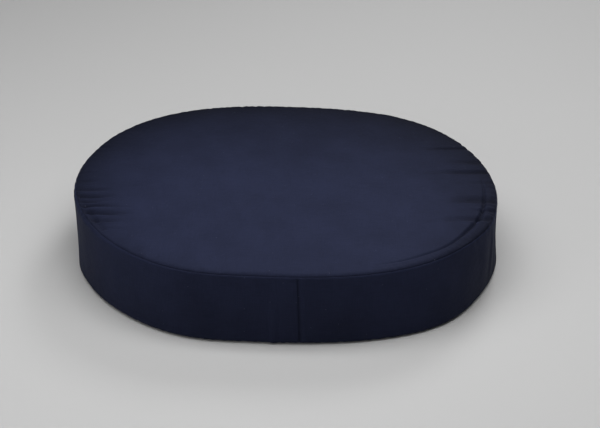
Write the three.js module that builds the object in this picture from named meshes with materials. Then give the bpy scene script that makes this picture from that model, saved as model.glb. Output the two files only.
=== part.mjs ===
// Oval boxed seat cushion: a filled body with a side band, a top panel and a bottom panel.
// Millimetres, +Z up, origin on the floor under the middle, long axis along X, front towards -Y.
// Angles are in degrees seen from above, anticlockwise from the right end: 270 is the front.
import * as THREE from 'three';

// Driving dimensions.
const LENGTH = 405;
const DEPTH = 326;
const RIM_HEIGHT = 75.5;
const CROWN = 8;
const CROWN_POWER = 3.5;
const OVAL_POWER = 2.34;
const SHOULDER_RADIUS = 4.5;
const FOOT_RADIUS = 5;
const SIDE_BARREL = 1.5;
const CLOTH = 2;
const GAP = 0.3;

// The top seam lies low on the rounded shoulder, this far inboard of the side. At the front left it
// is pulled in a little over the rim.
const TOP_SEAM = [
  { at: 30, inset: 0.7 },
  { at: 170, inset: 0.8 },
  { at: 192, inset: 2 },
  { at: 206, inset: 2.8 },
  { at: 224, inset: 1.2 },
  { at: 240, inset: 0.7 },
  { at: 320, inset: 0.8 },
  { at: 346, inset: 0.5 },
];

// The bottom seam lies under the edge, this many degrees round the foot from the side wall. At the
// front it is pulled up by 'lift', so that it shows just above the floor.
const FOOT_SEAM = { turn: 78, lift: 60, at: 280, reach: 60 };

// Depth and half width of the groove that the stitches draw in along each seam.
const SEAM_DIP = 0.8;
const SEAM_HALF_WIDTH = 3;
const JOIN_SEAM = { at: 279.5, dip: 0.9, halfWidth: 1.6 };

// The stuffed cover stands out from the true oval (+) or in (-), along the rim and at the foot.
const RIM_SWELLS = [
  { at: 357, reach: 16, out: 2.8 },
  { at: 26, reach: 27, out: -4.2 },
  { at: 58, reach: 7, out: 1 },
  { at: 95, reach: 40, out: -1.5 },
  { at: 180, reach: 20, out: 3.2 },
  { at: 208, reach: 22, out: -1.5 },
  { at: 243, reach: 24, out: 3.5 },
  { at: 288, reach: 34, out: -1 },
  { at: 344, reach: 13.5, out: 2.8 },
];
const FOOT_SWELLS = [
  { at: 357, reach: 22, out: 4.6 },
  { at: 196, reach: 8, out: 1 },
  { at: 210, reach: 20, out: -1.8 },
  { at: 243, reach: 24, out: 4.5 },
  { at: 288, reach: 26, out: -1.5 },
  { at: 324, reach: 22, out: 3.8 },
  { at: 358, reach: 9, out: 1.2 },
];

// Soft upright folds in the side band, deepest at half height.
const BAND_FOLDS = [
  { at: 191, reach: 24, out: -2.4 },
  { at: 356, reach: 14, out: -3.2 },
  { at: 341, reach: 4, out: 0.5 },
  { at: 346.4, reach: 2.2, out: 1 },
  { at: 352, reach: 2.2, out: 1.1 },
  { at: 12, reach: 5, out: 1.2 },
];

// Creases of the top panel where it is gathered into its end seams: troughs that start on an end
// (-1 left, 1 right) at 'side' from the long axis, 'slant' degrees off that axis, and run inwards.
const CREASES = [
  { end: -1, side: -14, slant: -3, halfWidth: 5, run: 36, depth: 0.6 },
  { end: -1, side: -29, slant: -3, halfWidth: 5.5, run: 52, depth: 0.9 },
  { end: -1, side: -41, slant: -3, halfWidth: 5.5, run: 56, depth: 1.3 },
  { end: -1, side: -51, slant: -3, halfWidth: 4.5, run: 60, depth: 1.1 },
  { end: -1, side: -58, slant: -3, halfWidth: 5, run: 58, depth: 1.4 },
  { end: -1, side: -69, slant: -3, halfWidth: 5.5, run: 56, depth: 1.6 },
  { end: -1, side: -82, slant: -3, halfWidth: 6, run: 52, depth: 1.1 },
  { end: 1, side: 92, slant: 14, halfWidth: 5, run: 62, depth: 1.2 },
  { end: 1, side: 64, slant: 14, halfWidth: 8, run: 50, depth: 1.1 },
  { end: 1, side: 42, slant: 17, halfWidth: 8, run: 78, depth: 1.6 },
  { end: 1, side: 18, slant: 14, halfWidth: 5, run: 60, depth: 0.6 },
  { end: 1, side: -15, slant: 14, halfWidth: 12, run: 80, depth: 2 },
  { end: 1, side: -47, slant: 16, halfWidth: 7, run: 60, depth: 1.3 },
];

// From the front right to the right end a fold runs beside the top seam, over the inner edge of its
// seam allowance, and at the front left the seam pulls: 'reach' degrees to each side of 'at', this far
// inboard of the seam.
const EDGE_CREASES = [
  { at: 317, reach: 13, inboard: 10.5, halfWidth: 2.5, depth: 0.9 },
  { at: 329, reach: 9, inboard: 10.5, halfWidth: 2.5, depth: 1 },
  { at: 341, reach: 9, inboard: 13.5, halfWidth: 3, depth: 1.4 },
  { at: 354, reach: 13, inboard: 13.5, halfWidth: 3, depth: 1 },
  { at: 206, reach: 12, inboard: 4.6, halfWidth: 4.5, depth: 0.7 },
];

// Where round the oval the mesh is fine: both ends, and the upright join seam.
const COARSE_STEP = 4;
const NARROWEST_STEP = 0.2;
const FINE_ZONES = [
  { at: 347, reach: 45, step: 1.6 },
  { at: 198, reach: 20, step: 1.1 },
  { at: JOIN_SEAM.at, reach: 1.6, step: 0.4 },
];

const NAVY = 0x2a2f45;

const radians = THREE.MathUtils.degToRad;

function signedTurn(from, to) {
  return THREE.MathUtils.euclideanModulo(to - from + 180, 360) - 180;
}

// A smooth hump: 1 in its middle, 0 from a distance of 1 outwards.
function hump(distance) {
  return Math.abs(distance) < 1 ? Math.cos(0.5 * Math.PI * distance) ** 2 : 0;
}

function swells(rows, angle) {
  return rows.reduce((sum, row) => sum + row.out * hump(signedTurn(row.at, angle) / row.reach), 0);
}

// A smooth curve all round through the rows of a table, in the column that is asked for.
function roundTable(rows, column, angle) {
  const count = rows.length;
  const turn = (row) => THREE.MathUtils.euclideanModulo(angle - rows[row].at, 360);
  const before = rows.reduce((best, _, row) => (turn(row) < turn(best) ? row : best), 0);
  const value = (row) => rows[(row + count) % count][column];
  const span = (row) => {
    const next = rows[(row + 1) % count].at - rows[(row + count) % count].at;
    return THREE.MathUtils.euclideanModulo(next, 360);
  };
  const slope = (row) => (value(row + 1) - value(row - 1)) / (span(row) + span(row - 1));
  const width = span(before);
  const t = turn(before) / width;
  const here = (1 + 2 * t) * (1 - t) ** 2 * value(before) + t * (1 - t) ** 2 * width * slope(before);
  const there = t * t * (3 - 2 * t) * value(before + 1) - t * t * (1 - t) * width * slope(before + 1);
  return here + there;
}

function ovalRadius(angle) {
  const x = Math.abs(Math.cos(radians(angle))) / (LENGTH / 2);
  const y = Math.abs(Math.sin(radians(angle))) / (DEPTH / 2);
  return (x ** OVAL_POWER + y ** OVAL_POWER) ** (-1 / OVAL_POWER);
}

// Distance from the upright axis to the side wall, at an angle and a height.
function wallRadius(angle, height) {
  const up = THREE.MathUtils.clamp(height / RIM_HEIGHT, 0, 1);
  const belly = Math.sin(Math.PI * up);
  const shape = THREE.MathUtils.lerp(swells(FOOT_SWELLS, angle), swells(RIM_SWELLS, angle), up);
  return ovalRadius(angle) + shape + belly * (SIDE_BARREL + swells(BAND_FOLDS, angle));
}

// How deep the band is drawn in at its upright join seam.
function joinDip(angle) {
  const away = radians(signedTurn(JOIN_SEAM.at, angle)) * ovalRadius(angle);
  return JOIN_SEAM.dip * Math.exp(-((away / JOIN_SEAM.halfWidth) ** 2));
}

// A point on the top skin, [radius, height]: 'along' is measured up over the rounded shoulder from
// where it leaves the side wall, and 'depth' is how far under the skin the point lies.
function topSkin(angle, along, depth) {
  const wall = wallRadius(angle, RIM_HEIGHT - SHOULDER_RADIUS);
  const turn = Math.min(along / SHOULDER_RADIUS, Math.PI / 2);
  const flat = Math.max(0, along - 0.5 * Math.PI * SHOULDER_RADIUS);
  const inset = SHOULDER_RADIUS * (1 - Math.cos(turn)) + flat;
  const outward = THREE.MathUtils.clamp(1 - inset / wall, 0, 1);
  const height = RIM_HEIGHT - SHOULDER_RADIUS * (1 - Math.sin(turn)) + CROWN * (1 - outward ** CROWN_POWER);
  return [wall - inset - depth * Math.cos(turn), height - depth * Math.sin(turn)];
}

// The same for the foot: 'turn' goes from 0 at the side wall to 90 degrees on the floor.
function footSkin(angle, turn, depth) {
  const wall = wallRadius(angle, FOOT_RADIUS);
  const radius = FOOT_RADIUS - depth;
  return [
    wall - FOOT_RADIUS + radius * Math.cos(radians(turn)),
    FOOT_RADIUS - radius * Math.sin(radians(turn)),
  ];
}

// How far along the top skin its seam lies, from where the shoulder leaves the side wall.
function topSeam(angle) {
  const inset = roundTable(TOP_SEAM, 'inset', angle);
  const onShoulder = Math.acos(1 - Math.min(inset / SHOULDER_RADIUS, 1)) * SHOULDER_RADIUS;
  return onShoulder + Math.max(0, inset - SHOULDER_RADIUS);
}

function footSeam(angle) {
  return FOOT_SEAM.turn - FOOT_SEAM.lift * hump(signedTurn(FOOT_SEAM.at, angle) / FOOT_SEAM.reach);
}

function seamGroove(distance) {
  return SEAM_DIP * Math.max(0, 1 - distance / SEAM_HALF_WIDTH) ** 2;
}

// How deep the creases are at a plan position that lies 'inboard' of the top seam.
function creaseDepth(x, y, inboard) {
  const facing = CREASES.filter((crease) => Math.sign(x) === crease.end);
  return facing.reduce((sum, crease) => {
    const middle = crease.side + Math.tan(radians(crease.slant)) * (x - (crease.end * LENGTH) / 2);
    const lengthwise = Math.min(1, inboard / SEAM_HALF_WIDTH) * hump(inboard / crease.run);
    return sum + crease.depth * lengthwise * hump((y - middle) / crease.halfWidth);
  }, 0);
}

// How deep the creases beside the top seam are.
function edgeCreaseDepth(angle, inboard) {
  return EDGE_CREASES.reduce((sum, crease) => {
    const lengthwise = hump(signedTurn(crease.at, angle) / crease.reach);
    return sum + crease.depth * lengthwise * hump((inboard - crease.inboard) / crease.halfWidth);
  }, 0);
}

// The angles of the mesh's spokes, all round the oval: a step never jumps into a fine zone.
function spokeAngles() {
  const stepTowards = (zone, angle) => {
    const outside = Math.abs(signedTurn(zone.at, angle)) - zone.reach;
    return Math.max(zone.step, outside);
  };
  const angles = [];
  let turned = 0;
  while (turned < 360 - NARROWEST_STEP) {
    const angle = JOIN_SEAM.at + turned;
    angles.push(angle);
    turned += Math.min(COARSE_STEP, ...FINE_ZONES.map((zone) => stepTowards(zone, angle)));
  }
  return angles;
}

const SPOKES = spokeAngles();

// One closed surface from rings of points, listed from the top middle down to the bottom middle.
// A ring is a function of the angle that gives [radius, height]; its middles are heights. Quads are
// cut the same way on facing surfaces, so that a sheet and what it lies on keep an even gap.
function closedSurface(topMiddle, rings, bottomMiddle) {
  const positions = [0, 0, topMiddle];
  for (const ring of rings) {
    for (const angle of SPOKES) {
      const [radius, height] = ring(angle);
      positions.push(radius * Math.cos(radians(angle)), radius * Math.sin(radians(angle)), height);
    }
  }
  positions.push(0, 0, bottomMiddle);
  const count = SPOKES.length;
  const at = (ring, spoke) => 1 + ring * count + (spoke % count);
  const last = positions.length / 3 - 1;
  const faces = [];
  const quad = (a, b, c, d, turned) => {
    faces.push(...(turned ? [a, b, d, b, c, d] : [a, b, c, a, c, d]));
  };
  for (let spoke = 0; spoke < count; spoke += 1) {
    faces.push(0, at(0, spoke), at(0, spoke + 1));
    for (let ring = 0; ring < rings.length - 1; ring += 1) {
      const inward = rings[ring + 1](SPOKES[0])[0] < rings[ring](SPOKES[0])[0];
      quad(at(ring, spoke), at(ring + 1, spoke), at(ring + 1, spoke + 1), at(ring, spoke + 1), inward);
    }
    faces.push(at(rings.length - 1, spoke), last, at(rings.length - 1, spoke + 1));
  }
  const geometry = new THREE.BufferGeometry();
  geometry.setAttribute('position', new THREE.Float32BufferAttribute(positions, 3));
  geometry.setIndex(faces);
  geometry.computeVertexNormals();
  return geometry;
}

function piece(name, geometry) {
  const material = new THREE.MeshStandardMaterial({ color: NAVY, roughness: 0.95, metalness: 0 });
  const mesh = new THREE.Mesh(geometry, material);
  mesh.name = name;
  return mesh;
}

// Rings of the creased top skin: by share of the way from the middle to the seam, and by distance
// from the seam.
const OUTER_SHARES = [0.28, 0.46, 0.6, 0.72, 0.82, 0.9];
const INNER_SHARES = [0.4, 0.7, 0.88];
const NEAR_SEAM = [17.5, 13.5, 10.5, 7.5, 4.6, 2.8, 1.3, 0];
const CORNER = 4.6;

function creasedSkin(angle, inboard, depth) {
  const [radius, height] = topSkin(angle, topSeam(angle) + inboard, depth);
  const x = radius * Math.cos(radians(angle));
  const y = radius * Math.sin(radians(angle));
  return [radius, height - creaseDepth(x, y, inboard)];
}

function sharedRing(share, depth) {
  return (angle) => {
    const toMiddle = topSkin(angle, topSeam(angle), 0)[0];
    return creasedSkin(angle, (1 - share) * toMiddle, depth);
  };
}

function topPanel() {
  const outer = OUTER_SHARES.map((share) => sharedRing(share, 0));
  const edge = NEAR_SEAM.map((inboard) => (angle) => {
    return creasedSkin(angle, inboard, seamGroove(inboard) + edgeCreaseDepth(angle, inboard));
  });
  const under = [0, CORNER].map((inboard) => (angle) => creasedSkin(angle, inboard, CLOTH));
  const inner = INNER_SHARES.toReversed().map((share) => sharedRing(share, CLOTH));
  const middle = RIM_HEIGHT + CROWN;
  return piece('top_panel', closedSurface(middle, [...outer, ...edge, ...under, ...inner], middle - CLOTH));
}

// The band's rings: its lip beside the top seam, then over the shoulder, down the wall and round the
// foot, each part by its own measure.
const BAND_FROM_SEAM = [0, 1.5];
const WALL_HEIGHTS = [66, 57, 48, 38, 28, 18, 10, FOOT_RADIUS];
const FOOT_TURNS = [0.35, 0.7, 1];

function sideBand() {
  const lid = CLOTH + GAP;
  const floor = INNER_SHARES.map((share) => sharedRing(share, lid));
  const corner = (angle) => creasedSkin(angle, CORNER, lid);
  const step = (angle) => topSkin(angle, topSeam(angle) - GAP, lid);
  const lip = BAND_FROM_SEAM.map((out) => (angle) => {
    return topSkin(angle, topSeam(angle) - GAP - out, seamGroove(out) + joinDip(angle));
  });
  const shoulder = (angle) => topSkin(angle, 0, joinDip(angle));
  const wall = WALL_HEIGHTS.map((height) => (angle) => [wallRadius(angle, height) - joinDip(angle), height]);
  const slit = THREE.MathUtils.radToDeg(GAP / FOOT_RADIUS);
  const foot = FOOT_TURNS.map((share) => (angle) => {
    return footSkin(angle, share * (footSeam(angle) - slit), joinDip(angle));
  });
  const heel = (angle) => footSkin(angle, footSeam(angle) - slit, lid);
  const under = (angle) => footSkin(angle, 90, lid);
  const rings = [...floor, corner, step, ...lip, shoulder, ...wall, ...foot, heel, under];
  const middle = RIM_HEIGHT + CROWN - lid;
  return piece('side_band', closedSurface(middle, rings, lid));
}

function bottomPanel() {
  const inner = (angle) => footSkin(angle, 90, CLOTH);
  const lip = (angle) => footSkin(angle, footSeam(angle), CLOTH);
  const edge = (angle) => footSkin(angle, footSeam(angle), 0);
  const turned = (angle) => footSkin(angle, 0.5 * (90 + footSeam(angle)), 0);
  const sole = (angle) => footSkin(angle, 90, 0);
  return piece('bottom_panel', closedSurface(CLOTH, [inner, lip, edge, turned, sole], 0));
}

const cushion = new THREE.Group();
cushion.add(topPanel(), sideBand(), bottomPanel());

// Stand the box of the whole cushion on the origin.
const box = new THREE.Box3().setFromObject(cushion);
cushion.position.set(-(box.min.x + box.max.x) / 2, -(box.min.y + box.max.y) / 2, -box.min.z);

export default cushion;
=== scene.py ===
import math

import bpy
import numpy as np
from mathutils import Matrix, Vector


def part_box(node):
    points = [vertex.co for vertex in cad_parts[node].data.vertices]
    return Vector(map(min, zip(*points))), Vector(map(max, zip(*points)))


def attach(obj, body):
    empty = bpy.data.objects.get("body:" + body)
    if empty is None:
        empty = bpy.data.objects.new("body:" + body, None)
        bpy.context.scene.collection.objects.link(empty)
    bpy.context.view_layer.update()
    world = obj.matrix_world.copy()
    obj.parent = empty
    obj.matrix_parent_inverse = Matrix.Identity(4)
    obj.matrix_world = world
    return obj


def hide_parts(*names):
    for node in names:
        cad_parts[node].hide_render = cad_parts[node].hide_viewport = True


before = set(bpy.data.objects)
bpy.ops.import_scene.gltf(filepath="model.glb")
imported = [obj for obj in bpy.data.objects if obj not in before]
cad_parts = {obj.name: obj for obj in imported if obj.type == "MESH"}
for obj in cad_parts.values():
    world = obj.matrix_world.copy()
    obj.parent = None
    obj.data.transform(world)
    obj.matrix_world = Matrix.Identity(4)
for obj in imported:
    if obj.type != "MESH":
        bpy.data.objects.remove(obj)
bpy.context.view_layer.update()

# The view. The camera looks down on the front of the cushion from just under two metres away, a
# few degrees round to its right.
VIEW_AZIMUTH = math.radians(5.0)
VIEW_ELEVATION = math.radians(31.26)
VIEW_DISTANCE = 1.8
VIEW_AIM = Vector((0.0131, 0.0, 0.0423))
SENSOR_WIDTH = 36.0
FRAME_WIDTH_PX = 600
FOCAL_LENGTH_PX = 1838

looking = Vector((
    -math.sin(VIEW_AZIMUTH) * math.cos(VIEW_ELEVATION),
    math.cos(VIEW_AZIMUTH) * math.cos(VIEW_ELEVATION),
    -math.sin(VIEW_ELEVATION),
))
camera = bpy.data.objects.new("view_camera", bpy.data.cameras.new("view_camera"))
camera.data.sensor_width = SENSOR_WIDTH
camera.data.lens = SENSOR_WIDTH * FOCAL_LENGTH_PX / FRAME_WIDTH_PX
camera.location = VIEW_AIM - looking * VIEW_DISTANCE
camera.rotation_euler = looking.to_track_quat("-Z", "Y").to_euler()
bpy.context.scene.collection.objects.link(camera)
bpy.context.scene.camera = camera


# The side band and its filling. The band is one strip of the cover cloth, sewn into a ring by an
# upright join seam at the front and drawn tight round the foam. Its sizes are in millimetres, and
# its angles in degrees anticlockwise from the right end, seen from above.
MM = 0.001
LENGTH = 405
DEPTH = 326
OVAL_POWER = 2.34
RIM_HEIGHT = 75.5
SHOULDER_RADIUS = 4.5
FOOT_RADIUS = 5
SIDE_BARREL = 1.5
CROWN = 8
CROWN_POWER = 3.5
SHOULDER_ARC = 0.5 * math.pi * SHOULDER_RADIUS
FOOT_ARC = 0.5 * math.pi * FOOT_RADIUS
WALL = RIM_HEIGHT - SHOULDER_RADIUS - FOOT_RADIUS

# Rows: where round the oval, how far the hump reaches to each side, how far it stands out.
RIM_SWELLS = [(357, 16, 2.8), (26, 27, -4.2), (58, 7, 1), (95, 40, -1.5), (180, 20, 3.2),
              (208, 22, -1.5), (243, 24, 3.5), (288, 34, -1), (344, 13.5, 2.8)]
FOOT_SWELLS = [(357, 22, 4.6), (196, 8, 1), (210, 20, -1.8), (243, 24, 4.5), (288, 26, -1.5),
               (324, 22, 3.8), (271.5, 1.8, 1.3), (358, 9, 1.2)]
BAND_FOLDS = [(191, 24, -2.4), (356, 14, -3.2), (341, 4, 0.5), (346.4, 1.5, 0.9), (352, 1.5, 1),
              (12, 5, 1.2)]

# The top seam: where round the oval, and how far inboard of the side it runs.
TOP_SEAM = [(30, 0.7), (170, 0.8), (192, 2), (206, 2.8), (224, 1.2), (240, 0.7), (320, 0.8),
            (346, 0.5)]
# The bottom seam: degrees round the foot from the side, and by how much it is pulled up at the front.
FOOT_SEAM_TURN = 78
FOOT_SEAM_LIFT = (280, 60, 60)

# How deep the stitches draw the cloth in, and how far from them it rolls over. The top seam is
# soft, and the bottom seam and the join are crisper.
SEAM_DEPTH = 0.5
PANEL_ROLL = 3
BAND_ROLL = 1.6
FOOT_DIP = 0.9
FOOT_ROLL = 0.9
JOIN_AT = 279.15
JOIN_SLANT = 0.01
JOIN_DEPTH = 0.8
JOIN_ROLL = 1.8
# The pressed allowance stands up a little this far to the right of the join. The cloth puckers along
# every seam, less with the distance from it, and the band has faint upright ripples.
ALLOWANCE_AT = 4
ALLOWANCE_HEIGHT = 0.3
PUCKER_DEPTH = 0.3
PUCKER_FADE = 5
RIPPLE_DEPTH = 0.3


def hump(distance):
    """1 in the middle of a swell, 0 from a distance of 1 outwards."""
    return np.where(np.abs(distance) < 1, np.cos(0.5 * np.pi * distance) ** 2, 0)


def turned(at, angle):
    return (angle - at + 180) % 360 - 180


def swells(rows, angle):
    return sum(out * hump(turned(at, angle) / reach) for at, reach, out in rows)


def round_table(rows, angle):
    """A smooth curve all round through the rows of a table."""
    rows = sorted(rows)
    at = np.array([rows[-1][0] - 360, *(row[0] for row in rows), rows[0][0] + 360, rows[1][0] + 360])
    value = np.array([rows[-1][1], *(row[1] for row in rows), rows[0][1], rows[1][1]])
    angle = np.where(angle < at[1], angle + 360, angle)
    left = np.clip(np.searchsorted(at, angle, side="right") - 1, 1, len(at) - 3)
    slope = (value[2:] - value[:-2]) / (at[2:] - at[:-2])
    width = at[left + 1] - at[left]
    t = (angle - at[left]) / width
    here = (1 + 2 * t) * (1 - t) ** 2 * value[left] + t * (1 - t) ** 2 * width * slope[left - 1]
    there = t * t * (3 - 2 * t) * value[left + 1] - t * t * (1 - t) * width * slope[left]
    return here + there


def oval_radius(angle):
    x = np.abs(np.cos(np.radians(angle))) / (LENGTH / 2)
    y = np.abs(np.sin(np.radians(angle))) / (DEPTH / 2)
    return (x**OVAL_POWER + y**OVAL_POWER) ** (-1 / OVAL_POWER)


def rolled_edge(distance, depth, reach):
    """How deep two cloths that are sewn together dip towards their seam."""
    away = np.clip(np.abs(distance) / reach, 0, 1)
    return depth * (1 - np.sqrt(1 - (1 - away) ** 2))


def wall_radius(angle, height):
    up = np.clip(height / RIM_HEIGHT, 0, 1)
    shape = (1 - up) * swells(FOOT_SWELLS, angle) + up * swells(RIM_SWELLS, angle)
    belly = np.sin(np.pi * up) * (SIDE_BARREL + swells(BAND_FOLDS, angle))
    return oval_radius(angle) + shape + belly


def top_seam(angle):
    """How far up over the shoulder the top seam runs, measured from where the side wall ends."""
    inset = round_table(TOP_SEAM, angle)
    on_shoulder = np.arccos(1 - np.minimum(inset / SHOULDER_RADIUS, 1)) * SHOULDER_RADIUS
    return on_shoulder + np.maximum(0, inset - SHOULDER_RADIUS)


def foot_seam(angle):
    at, reach, lift = FOOT_SEAM_LIFT
    turn = FOOT_SEAM_TURN - lift * hump(turned(at, angle) / reach)
    return -WALL - FOOT_RADIUS * np.radians(turn)


def skin(angle, along, depth):
    """A point of the cushion's surface, or one that lies deeper. 'along' is a tape laid over it: 0
    where the side wall meets the shoulder, more towards the top's middle, less down to the floor."""
    over = np.clip(along / SHOULDER_RADIUS, 0, np.pi / 2)
    under = np.clip((-WALL - along) / FOOT_RADIUS, 0, np.pi / 2)
    height = np.clip(RIM_HEIGHT - SHOULDER_RADIUS + along, FOOT_RADIUS, RIM_HEIGHT - SHOULDER_RADIUS)
    inset = SHOULDER_RADIUS * (1 - np.cos(over)) + np.maximum(0, along - SHOULDER_ARC)
    inset = inset + FOOT_RADIUS * (1 - np.cos(under)) + np.maximum(0, -WALL - FOOT_ARC - along)
    wall = wall_radius(angle, height)
    outward = np.clip(1 - inset / wall, 0, 1)
    crown = np.where(along > 0, CROWN * (1 - outward**CROWN_POWER), 0)
    radius = wall - inset - depth * np.cos(over) * np.cos(under)
    height = height + SHOULDER_RADIUS * np.sin(over) + crown - FOOT_RADIUS * np.sin(under)
    height = height - depth * (np.sin(over) - np.sin(under))
    return radius * np.cos(np.radians(angle)), radius * np.sin(np.radians(angle)), height


def puckers(angle, seed):
    """Small irregular waves of the cloth along a seam, from -1 to 1."""
    waves = np.random.default_rng(seed)
    total = np.zeros_like(angle, dtype=float)
    for count in waves.integers(50, 190, 14):
        total = total + np.sin(np.radians(angle * count) + waves.uniform(0, 2 * np.pi))
    return total / 5


def pucker_depth(angle, along):
    """The puckers that the stitches draw up, along both seams."""
    depth = 0
    for seam, seed in ((top_seam(angle), 3), (foot_seam(angle), 8)):
        distance = np.abs(along - seam)
        fading = np.exp(-distance / PUCKER_FADE) * hump(distance / (6 * PUCKER_FADE))
        depth = depth + PUCKER_DEPTH * puckers(angle, seed) * fading
    return depth


def foot_depth(angle, along):
    return rolled_edge(along - foot_seam(angle), FOOT_DIP, FOOT_ROLL) + pucker_depth(angle, along)


def from_join(angle, along):
    """How far to the right of the join seam a point lies. The seam leans a little."""
    return np.radians(turned(JOIN_AT - JOIN_SLANT * along, angle)) * oval_radius(angle)


def join_depth(angle, along):
    """The upright join seam: a rolled groove, with its allowance pressed to the right of it."""
    across = from_join(angle, along)
    allowance = ALLOWANCE_HEIGHT * hump((across - ALLOWANCE_AT) / ALLOWANCE_AT)
    inside = np.clip((top_seam(angle) - along) / 3, 0, 1)
    return (rolled_edge(across, JOIN_DEPTH, JOIN_ROLL) - allowance) * inside


def band_depth(angle, along):
    """The band's seams, and the faint upright ripples of a strip that is only pulled tight."""
    upper_edge = rolled_edge(top_seam(angle) - along, SEAM_DEPTH, BAND_ROLL)
    ripples = RIPPLE_DEPTH * hump((along + WALL / 2) / (0.6 * WALL)) * puckers(angle / 3, 12)
    return upper_edge + foot_depth(angle, along) + join_depth(angle, along) + ripples


def spokes(count, near_join):
    """Angles all round, with more of them close to the join seam."""
    close = JOIN_AT + np.degrees(np.array(near_join) / oval_radius(np.array(JOIN_AT)))
    even = np.linspace(0, 360, count, endpoint=False)
    return np.sort(np.concatenate([even[np.abs(even - JOIN_AT) > np.ptp(close) / 2 + 0.1], close]))


def cloth_object(name, angle, rings, flat, painted_shades):
    """A closed mesh from rings of points, from the middle of the top to the middle underneath. flat
    holds each point's place on the cut cloth, with one more column where the ring closes, and
    painted_shades the painted light and shade that scales the cloth's colour there: 1 is plain,
    less is painted shade, more is painted light."""
    count = len(angle)
    x, y, z = (np.stack([np.broadcast_to(ring[i], count) for ring in rings]) for i in range(3))
    ends = [(0, 0, z[0].mean()), (0, 0, z[-1].mean())]
    points = np.concatenate([ends, np.stack([x, y, z], axis=2).reshape(-1, 3)]) * MM
    points[:, :2] += cushion_middle
    ring, spoke = np.meshgrid(np.arange(len(rings) - 1), np.arange(count), indexing="ij")
    ring, spoke = ring.ravel(), spoke.ravel()
    corners = [(ring, spoke), (ring + 1, spoke), (ring + 1, spoke + 1), (ring, spoke + 1)]
    quads = np.stack([2 + r * count + s % count for r, s in corners], axis=1)
    around = np.arange(count)
    last = len(rings) - 1
    top_fan = np.stack([around * 0, 2 + around, 2 + (around + 1) % count], axis=1)
    foot = 2 + last * count
    foot_fan = np.stack([around * 0 + 1, foot + (around + 1) % count, foot + around], axis=1)
    mesh = bpy.data.meshes.new(name)
    mesh.from_pydata(points.tolist(), [], quads.tolist() + top_fan.tolist() + foot_fan.tolist())
    places = np.concatenate([
        np.stack([flat[r, s] for r, s in corners], axis=1).reshape(-1, 2),
        np.stack([flat[0].mean(0) + 0 * flat[0, around], flat[0, around], flat[0, around + 1]],
                 axis=1).reshape(-1, 2),
        np.stack([flat[last].mean(0) + 0 * flat[0, around], flat[last, around + 1],
                  flat[last, around]], axis=1).reshape(-1, 2),
    ])
    layer = mesh.uv_layers.new(name="cloth")
    layer.uv.foreach_set("vector", (places * MM).astype(np.float32).ravel())
    # The painted light and shade go to the mesh as an attribute that scales the cloth's colour.
    painted_shades = np.stack([np.broadcast_to(shade, count) for shade in painted_shades])
    painted_shading = mesh.attributes.new("painted_shading", "FLOAT", "POINT")
    ends = [painted_shades[0].mean(), painted_shades[-1].mean()]
    painted_shading.data.foreach_set("value", np.concatenate([ends, painted_shades.ravel()]).astype(np.float32))
    mesh.polygons.foreach_set("use_smooth", [True] * len(mesh.polygons))
    piece = bpy.data.objects.new(name, mesh)
    bpy.context.scene.collection.objects.link(piece)
    return piece


# The cloth's threads, in metres, and its colours: the navy, the same where it is rubbed, and lint.
THREAD_PITCH = 0.00045
DEEP_NAVY = (0.0105, 0.0132, 0.0310, 1)
RUBBED_NAVY = (0.0140, 0.0175, 0.0405, 1)
LINT_GREY = (0.12, 0.13, 0.18, 1)
SHEEN_BLUE = (0.55, 0.62, 1.0, 1)


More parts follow.
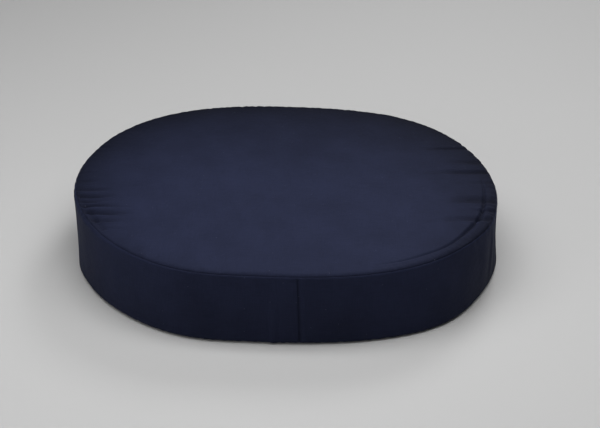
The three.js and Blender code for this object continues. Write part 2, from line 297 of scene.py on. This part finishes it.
def navy_cloth(name):
    """Plain-woven dark navy cotton blend: fine weave, slubs, a faint sheen and a little lint."""
    material = bpy.data.materials.new(name)
    material.use_nodes = True
    tree = material.node_tree
    tree.nodes.clear()

    def node(kind, settings=None, **inputs):
        made = tree.nodes.new(kind)
        for key, value in (settings or {}).items():
            setattr(made, key, value)
        for key, value in inputs.items():
            slot = made.inputs[int(key[1:])] if key[0] == "_" else made.inputs[key.replace("_", " ")]
            if isinstance(value, bpy.types.NodeSocket):
                tree.links.new(value, slot)
            else:
                slot.default_value = value
        return made

    def calc(operation, first, second=0.0):
        return node("ShaderNodeMath", {"operation": operation}, _0=first, _1=second).outputs[0]

    cloth = node("ShaderNodeUVMap", {"uv_map": "cloth"}).outputs["UV"]
    threads = node("ShaderNodeVectorMath", {"operation": "SCALE"}, Vector=cloth, Scale=1 / THREAD_PITCH)
    parts = node("ShaderNodeSeparateXYZ", Vector=threads.outputs[0])
    heights = []
    for across, lengthwise, start in ((0, 1, 0.0), (1, 0, 1.0)):
        thread = calc("ABSOLUTE", calc("SINE", calc("MULTIPLY", parts.outputs[across], math.pi)))
        number = calc("ADD", calc("FLOOR", parts.outputs[across]), start)
        wave = calc("SINE", calc("MULTIPLY", calc("ADD", parts.outputs[lengthwise], number), math.pi))
        over = calc("ADD", calc("MULTIPLY", wave, 0.5), 0.5)
        heights.append(calc("MULTIPLY", thread, over))
    weave = calc("MAXIMUM", heights[0], heights[1])

    slubs = []
    for stretch in ((60.0, 1500.0, 1.0), (1500.0, 60.0, 1.0)):
        place = node("ShaderNodeVectorMath", {"operation": "MULTIPLY"}, _0=cloth, _1=stretch)
        streak = node("ShaderNodeTexNoise", {"noise_dimensions": "2D"}, Vector=place.outputs[0],
                      Scale=1.0, Detail=2.0)
        slubs.append(streak.outputs["Fac"])
    slub = calc("ADD", slubs[0], slubs[1])
    patches = node("ShaderNodeTexNoise", {"noise_dimensions": "2D"}, Vector=cloth, Scale=28.0,
                   Detail=4.0).outputs["Fac"]
    shade = calc("ADD", calc("MULTIPLY", slub, 0.5), calc("MULTIPLY", patches, 0.6))
    ramp = node("ShaderNodeValToRGB", Fac=shade)
    ramp.color_ramp.elements[0].position = 0.6
    ramp.color_ramp.elements[0].color = DEEP_NAVY
    ramp.color_ramp.elements[1].position = 1.0
    ramp.color_ramp.elements[1].color = RUBBED_NAVY

    specks = node("ShaderNodeTexVoronoi", {"voronoi_dimensions": "2D"}, Vector=cloth, Scale=75.0)
    small = calc("LESS_THAN", specks.outputs["Distance"], 0.030)
    chosen = node("ShaderNodeSeparateColor", Color=specks.outputs["Color"]).outputs[0]
    lint = calc("MULTIPLY", small, calc("LESS_THAN", chosen, 0.12))
    # The navy is scaled by the mesh's painted light and shade: painted shade in grooves, creases,
    # towards the edges and the floor, and painted light on some patches.
    painted_shading = node("ShaderNodeAttribute", {"attribute_name": "painted_shading"}).outputs["Fac"]
    navy_with_painted_shading = node("ShaderNodeVectorMath", {"operation": "SCALE"}, Vector=ramp.outputs["Color"], Scale=painted_shading)
    colour = node("ShaderNodeMix", {"data_type": "RGBA"}, _0=calc("MULTIPLY", lint, 0.3),
                  _6=navy_with_painted_shading.outputs[0], _7=LINT_GREY)

    creping = node("ShaderNodeTexNoise", {"noise_dimensions": "2D"}, Vector=cloth, Scale=160.0,
                   Detail=3.0).outputs["Fac"]
    soft = node("ShaderNodeBump", Strength=0.5, Distance=0.0006, Height=creping)
    fine = node("ShaderNodeBump", Strength=0.5, Distance=0.0001, Height=weave)
    tree.links.new(soft.outputs["Normal"], fine.inputs["Normal"])
    surface = node("ShaderNodeBsdfPrincipled", Base_Color=colour.outputs[2], Roughness=0.75,
                   Normal=fine.outputs["Normal"])
    surface.inputs["Specular IOR Level"].default_value = 0.07
    surface.inputs["Sheen Weight"].default_value = 0.02
    surface.inputs["Sheen Roughness"].default_value = 0.45
    surface.inputs["Sheen Tint"].default_value = SHEEN_BLUE
    out = node("ShaderNodeOutputMaterial")
    tree.links.new(surface.outputs["BSDF"], out.inputs["Surface"])
    return material


# The wall is laid out from its middle, and the whole cushion stands where the solids stand.
outline = spokes(720, [0])
wall_x, wall_y, _ = skin(outline[None, :], np.linspace(-WALL, 0, 24)[:, None], 0)
low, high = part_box("side_band")
cushion_middle = np.array([low[0] + high[0], low[1] + high[1]]) / 2
cushion_middle -= np.array([wall_x.max() + wall_x.min(), wall_y.max() + wall_y.min()]) / 2 * MM

BAND_SPOKES = 960
JOIN_STEPS = [-4, -3, -2.2, -1.6, -1.1, -0.7, -0.4, -0.2, 0, 0.2, 0.4, 0.7, 1.1, 1.6, 2.2, 3, 4]
SEAM_STEPS = np.array([0.1, 0.35, 0.6, 0.9, 1.6, 2.6])
WALL_RINGS = 44
# Under the top panel the padding lies this deep, at these distances from the seam.
LID = [(105, 4.5), (60, 4.5), (22, 4.5), (9, 4.5), (4, 3)]
LIP_DEPTH = 1.2
# Painted light: paler patches on the band. Rows: where round the oval, reach in degrees, how much paler.
BAND_PAINTED_LIGHT = [(225, 22, 0.18), (270, 20, 0.05), (308, 17, 0.12)]

band_angle = spokes(BAND_SPOKES, JOIN_STEPS)
upper = top_seam(band_angle)
lower = foot_seam(band_angle)
tape = [upper + inboard for inboard, _ in LID]
deep = [depth for _, depth in LID]
tape += [upper - SEAM_STEPS[0]]
deep += [LIP_DEPTH + SEAM_DEPTH]
lip_down = [upper - step for step in SEAM_STEPS]
lip_up = [lower + step for step in SEAM_STEPS[::-1]]
between = [
    lip_down[-1] + (lip_up[0] - lip_down[-1]) * share
    for share in np.linspace(0, 1, WALL_RINGS + 2)[1:-1]
]
for along in lip_down + between + lip_up:
    tape.append(along)
    deep.append(band_depth(band_angle, along))
for inboard in (0, 5, 22, 75, 145):
    tape.append(np.minimum(lower, -WALL - FOOT_ARC) - inboard if inboard else lower)
    deep.append(LIP_DEPTH + SEAM_DEPTH)


def band_shade(angle, along):
    """Painted light and shade on the band: painted shade in the join's groove and a painted highlight
    on the pressed allowance beside it, painted shade growing towards the floor, most of all at the right
    end, painted shade along the top seam, most of all at the left where the band's lip is drawn in, and
    paler painted patches."""
    across = from_join(angle, along)
    inside = np.clip((top_seam(angle) - along) / 3, 0, 1)
    # Painted shade in the join's groove, and a painted highlight on the allowance to its right.
    joined = (0.3 * hump(across / 2.2) - 0.1 * hump((across - ALLOWANCE_AT) / 2.5)) * inside
    # Painted shade growing towards the floor, deepest at the right end, times the paler painted patches.
    down = np.clip(-along / WALL, 0, 1)
    painted_foot_shade = 0.2 + 0.25 * hump(turned(352, angle) / 25)
    painted_band_tone = (1.05 - painted_foot_shade * down) * (1 + swells(BAND_PAINTED_LIGHT, angle))
    # Painted shade along the top seam, strongest at the left end where the lip is drawn in.
    lip = 0.1 + 0.17 * hump(turned(205, angle) / 20)
    return painted_band_tone * (1 - joined - lip * hump((along - top_seam(angle)) / 4))


band_shades = [band_shade(band_angle, along) for along in tape]
band_rings = [skin(band_angle, along, depth) for along, depth in zip(tape, deep)]
strip = np.radians(turned(JOIN_AT, band_angle) % 360) * (LENGTH + DEPTH) / 4
order = np.argsort(strip)
band_angle, strip = band_angle[order], strip[order]
band_rings = [tuple(np.broadcast_to(axis, len(order))[order] for axis in ring) for ring in band_rings]
band_shades = [shade[order] for shade in band_shades]
around = np.append(strip, 2 * np.pi * (LENGTH + DEPTH) / 4)
band_flat = np.stack([
    np.stack([around, np.append(along[order], along[order[0]])], axis=1) for along in tape
])
side_band = cloth_object("side_band_cloth", band_angle, band_rings, band_flat, band_shades)
side_band.data.materials.append(navy_cloth("navy_cloth_band"))
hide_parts("side_band")
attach(side_band, "root")

# The top panel: one oval of the cover cloth, sewn to the band all round. It is pulled tight over
# the foam and gathered at its two ends, where creases run in along its length.
CLOTH_THICKNESS = 0.6
# Rows: end (-1 left, 1 right), distance from the long axis, slant in degrees, half width, run
# inwards, depth (less than 0 is a ridge).
CREASES = [
    (-1, -14, -3, 4.5, 30, 1.0), (-1, -29, -3, 4.8, 40, 1.9), (-1, -41, -3, 4.2, 42, 2.8),
    (-1, -50.5, -3, 3.6, 30, 2.2), (-1, -58, -3, 3.8, 44, 2.8), (-1, -69.5, -4, 4.6, 46, 3.0),
    (-1, -82, -4, 4, 38, 1.8), (-1, -95, -4, 4, 28, 0.9), (-1, -35.5, -3, 3, 40, -0.8),
    (-1, -54, -3, 2.4, 38, -0.5), (-1, -63.5, -3, 3.4, 50, -1.2), (-1, -76.5, -4, 3, 34, -0.7),
    (1, 92, 14, 3.8, 62, 2.2), (1, 62, 14, 6, 46, 1.8), (1, 42, 15, 6, 76, 2.8),
    (1, 19, 14, 5, 56, 0.9), (1, -14, 13, 9, 66, 2.6), (1, -33, 12, 4, 40, 1.4),
    (1, -47, 15, 6, 58, 2.2), (1, -29, 16, 4, 66, -0.9), (1, 52, 15, 4, 50, -0.6),
]
# Hollows along the top seam where it pulls: where round the oval, reach in degrees, distance from
# the seam, half width, depth.
EDGE_CREASES = [(332.5, 5, 5, 4.5, 1.0), (206, 12, 5.5, 5, 1.2)]
# At the right one long fold lies beside the seam, over the inner edge of its allowance: where round
# the oval (past the right end the degrees go on from 360), distance from the seam, half width, depth.
FOLD_LINE = [(304, 10, 1.8, 0), (312, 10.2, 1.8, 1), (320, 10.8, 1.9, 1.5), (327, 10, 2, 1.5),
             (332, 10.8, 2.2, 2), (338, 13, 2.8, 2.8), (343, 13.6, 3, 3.2), (348, 13, 2.7, 2.8),
             (354, 13.2, 2.4, 2.2), (361, 13.5, 2.2, 1.2), (368, 13, 2, 0)]
# The full edge of the allowance beside that fold: how much nearer the seam it stands, its half width,
# and its height as a share of the fold's depth.
FOLD_EDGE = (5, 4, 0.2)
SMALL_TUCKS = 110


def fade(share):
    """1 over the first third of the way, then softly down to 0."""
    rest = np.clip((share - 0.3) / 0.7, 0, 1)
    return 1 - rest * rest * (3 - 2 * rest)


def crease_depth(x, y, inboard):
    depth = np.zeros_like(x)
    for number, (end, side, slant, half_width, run, deepest) in enumerate(CREASES):
        middle = side + math.tan(math.radians(slant)) * (x - end * LENGTH / 2)
        middle = middle + 0.7 * np.sin(x / 8 + number)
        along = np.minimum(1, inboard / 4) * fade(inboard / run)
        depth = depth + np.where(np.sign(x) == end, deepest * along * hump((y - middle) / half_width), 0)
    return depth


def edge_crease_depth(angle, inboard):
    return sum(
        deepest * hump(turned(at, angle) / reach) * hump((inboard - away) / half_width)
        for at, reach, away, half_width, deepest in EDGE_CREASES
    )


def fold_depth(angle, inboard):
    """The long fold: a narrow trough, with the full edge of the allowance between it and the seam."""
    at, *columns = np.array(FOLD_LINE).T
    going_on = np.where(angle < 180, angle + 360, angle)
    away, half_width, deepest = (np.interp(going_on, at, column) for column in columns)
    nearer, edge_half_width, share = FOLD_EDGE
    trough = hump((inboard - away) / half_width)
    return deepest * (trough - share * hump((inboard - away + nearer) / edge_half_width))


def small_tucks(angle, inboard):
    """Short tucks where the panel is eased into its seam, closer together at the two ends."""
    tucks = np.random.default_rng(21)
    depth = 0
    for number in range(SMALL_TUCKS):
        at = tucks.uniform(0, 360) if number % 2 else tucks.normal(180 * (number % 4 // 2), 28)
        half_width = tucks.uniform(0.5, 1.3)
        run = tucks.uniform(7, 24)
        deepest = tucks.uniform(0.1, 0.45)
        across = turned(at, angle) / half_width
        depth = depth + deepest * hump(across) * np.minimum(1, inboard / 3) * fade(inboard / run)
    return depth


def soft_hollows(x, y):
    """The padding is a little uneven under the cloth."""
    return 0.35 * (np.sin(x / 31 + 1.1 * np.sin(y / 27)) + np.sin(y / 23 - 0.9 * np.sin(x / 37) + 2))


def edge_depth(angle, inboard):
    """All that is drawn in or folded along the edge of the panel."""
    along_seam = edge_crease_depth(angle, inboard) + fold_depth(angle, inboard)
    return along_seam + small_tucks(angle, inboard)


def panel_ring(angle, inboard, extra):
    along = top_seam(angle) + inboard
    depth = rolled_edge(inboard, SEAM_DEPTH, PANEL_ROLL) + pucker_depth(angle, along)
    x, y, z = skin(angle, along, depth + edge_depth(angle, inboard) + extra)
    uneven = soft_hollows(x, y) * np.clip((inboard - 6) / 40, 0, 1)
    return x, y, z - crease_depth(x, y, inboard) + uneven


# Painted shade on the top panel. Rows: where round the oval, how much darker the colour is painted at
# # the edge, how far in that reaches. The far edge and the ends are painted darker than the front half.
EDGE_PAINTED_SHADE = [(0, 0.64, 46), (45, 0.79, 82), (90, 0.78, 82), (135, 0.8, 78), (180, 0.64, 40),
            (205, 0.4, 22), (235, 0.2, 10), (300, 0.2, 10), (330, 0.6, 16), (345, 0.68, 28)]


# Painted light and shade on the top panel: darker towards the far edge and the ends, darker in the
# creases and paler on their ridges, darker beside the seam, and the whole top paler than the band.
def panel_shade(angle, inboard):
    at_edge = round_table([(at, share) for at, share, _ in EDGE_PAINTED_SHADE], angle)
    reach = round_table([(at, far) for at, _, far in EDGE_PAINTED_SHADE], angle)
    x, y, _ = skin(angle, top_seam(angle) + inboard, 0)
    creased = crease_depth(x, y, inboard) + edge_depth(angle, inboard)
    # Painted shade in the troughs of creases and folds, and painted light on their ridges.
    painted_crease_shade = np.clip(0.13 * creased, -0.12, 0.4)
    # The whole top is painted 1.1 times paler than plain, with painted shade towards the far edge and
    # the ends.
    seat = 1.1 * (1 - at_edge * np.exp(-inboard / reach))
    # Painted shade in the groove beside the top seam.
    return seat * (1 - painted_crease_shade) * (1 - 0.1 * hump(inboard / 2.5))


# The mesh of the panel has more spokes at its two creased ends: where round the oval, reach. Its
# rings are close together beside the seam, on the outside and underneath.
PANEL_SPOKES = 600
CREASED_ENDS = [(203, 25), (350, 45)]
EDGE_STEPS = [0, 0.25, 0.5, 0.8, 1.2, 1.7, 2.3, 3, 3.8, 4.6, 5.4, 6.2, 7, 7.8, 8.6, 9.4, 10.2, 11, 11.8,
              12.6, 13.4, 14.2, 15, 15.8, 17, 18.5]
MIDDLE_RINGS = 60
UNDER_STEPS = [0, 1.5, 3, 4.6, 6.2, 7.8, 9, 10.2, 11.4, 12.6, 13.8, 15, 16.2, 17.4, 19, 24, 34, 48,
               70, 110]

panel_angle = spokes(PANEL_SPOKES, [-3, -1.5, 0, 1.5, 3])
ends = [
    angle for angle in panel_angle
    if any(abs(turned(at, angle)) < reach for at, reach in CREASED_ENDS)
]
crowded = np.array(ends) + 180 / PANEL_SPOKES
panel_angle = np.sort(np.concatenate([panel_angle, crowded % 360]))
to_middle = np.hypot(*skin(panel_angle, top_seam(panel_angle), 0)[:2])
shares = np.linspace(1, 0.02, MIDDLE_RINGS)
outer = [EDGE_STEPS[-1] + (to_middle - EDGE_STEPS[-1]) * (1 - share) for share in shares[1:]][::-1]
outer += [step + 0 * panel_angle for step in EDGE_STEPS[::-1]]
under = [step + 0 * panel_angle for step in UNDER_STEPS]
panel_rings = [panel_ring(panel_angle, inboard, 0) for inboard in outer]
panel_rings += [panel_ring(panel_angle, inboard, CLOTH_THICKNESS) for inboard in under]
panel_shades = [panel_shade(panel_angle, inboard) for inboard in outer + under]
panel_flat = np.stack([
    np.stack([np.append(x, x[0]), np.append(y, y[0])], axis=1) for x, y, _ in panel_rings
])
top_panel = cloth_object("top_panel_cloth", panel_angle, panel_rings, panel_flat, panel_shades)
top_panel.data.materials.append(navy_cloth("navy_cloth_top"))
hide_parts("top_panel")
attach(top_panel, "root")

# The bottom panel: the same oval of the same cloth, cut a second time and sewn to the band's lower
# edge. It lies flat on the floor. At the front its edge is turned up a little way, so that its seam
# with the band shows just above the floor.
SOLE_STEPS = np.array([0, 0.25, 0.5, 0.8, 1.2, 1.7, 2.2])
NARROWEST_TURN = 2.3
SOLE_REACH = 150
SOLE_RINGS = 10

sole_angle = spokes(PANEL_SPOKES, [-3, -1.5, 0, 1.5, 3])
sole_seam = foot_seam(sole_angle)
flat_from = sole_seam - np.maximum(NARROWEST_TURN, sole_seam + WALL + FOOT_ARC)
sole_tape = [sole_seam - step for step in SOLE_STEPS] + [flat_from]
sole_tape += [flat_from - share * SOLE_REACH for share in np.linspace(0.1, 1, SOLE_RINGS)]
inner_tape = sole_tape[::3]
sole_rings = [
    skin(sole_angle, along, foot_depth(sole_angle, along) + CLOTH_THICKNESS)
    for along in inner_tape[::-1]
]
sole_rings += [skin(sole_angle, along, foot_depth(sole_angle, along)) for along in sole_tape]
sole_rings = [(x, y, np.maximum(z, 0)) for x, y, z in sole_rings]
sole_flat = np.stack([
    np.stack([np.append(x, x[0]), np.append(y, y[0])], axis=1) for x, y, _ in sole_rings
])
bottom_panel = cloth_object("bottom_panel_cloth", sole_angle, sole_rings, sole_flat,
                            [1.0] * len(sole_rings))
bottom_panel.data.materials.append(navy_cloth("navy_cloth_bottom"))
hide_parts("bottom_panel")
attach(bottom_panel, "root")

# The floor: a wide sheet of pale grey studio paper. It lies a hair lower than the cushion's
# underside, so that the two never share a surface.
FLOOR_SIZE = 8.0
FLOOR_DROP = 0.0002
floor_mesh = bpy.data.meshes.new("studio_floor")
half = FLOOR_SIZE / 2
floor_mesh.from_pydata([(-half, -half, 0), (half, -half, 0), (half, half, 0), (-half, half, 0)], [],
                       [(0, 1, 2, 3)])
floor = bpy.data.objects.new("studio_floor", floor_mesh)
floor.location.z = -FLOOR_DROP
bpy.context.scene.collection.objects.link(floor)
paper = bpy.data.materials.new("floor_paper")
paper.use_nodes = True
paper_surface = paper.node_tree.nodes["Principled BSDF"]
paper_surface.inputs["Base Color"].default_value = (0.45, 0.45, 0.45, 1)
paper_surface.inputs["Roughness"].default_value = 0.9
floor_mesh.materials.append(paper)

# The light: a wide strip box overhead with a square one before it, a smaller one behind, weak fills
# from the front and the left, and a little light from the pale room. Rows: name, place, the point it
# faces, width and depth, watts.
LIGHTS = [
    ("overhead_strip", (0.0, -0.10, 1.20), (0.0, -0.10, 0.0), (2.2, 0.5), 13.0),
    ("overhead_softbox", (0.0, -0.30, 1.10), (0.0, -0.30, 0.0), (0.8, 0.8), 5.0),
    ("rear_softbox", (0.40, 1.00, 1.10), (0.0, 0.0, 0.0), (0.5, 0.5), 8.2),
    ("front_left_fill", (-1.00, -0.90, 0.6), (0.0, 0.0, 0.05), (0.8, 0.8), 3.3),
    ("front_fill", (0.10, -1.50, 0.8), (0.0, 0.0, 0.05), (0.8, 0.8), 2.4),
]
for name, place, aim, (wide, deep), watts in LIGHTS:
    light = bpy.data.objects.new(name, bpy.data.lights.new(name, "AREA"))
    light.data.shape = "RECTANGLE"
    light.data.size = wide
    light.data.size_y = deep
    light.data.energy = watts
    light.location = place
    light.rotation_euler = (Vector(aim) - Vector(place)).to_track_quat("-Z", "Y").to_euler()
    bpy.context.scene.collection.objects.link(light)

room = bpy.data.worlds.new("pale_room")
room.use_nodes = True
room.node_tree.nodes["Background"].inputs["Color"].default_value = (1.0, 1.0, 1.0, 1)
room.node_tree.nodes["Background"].inputs["Strength"].default_value = 0.01
bpy.context.scene.world = room
bpy.context.scene.view_settings.view_transform = "Standard"
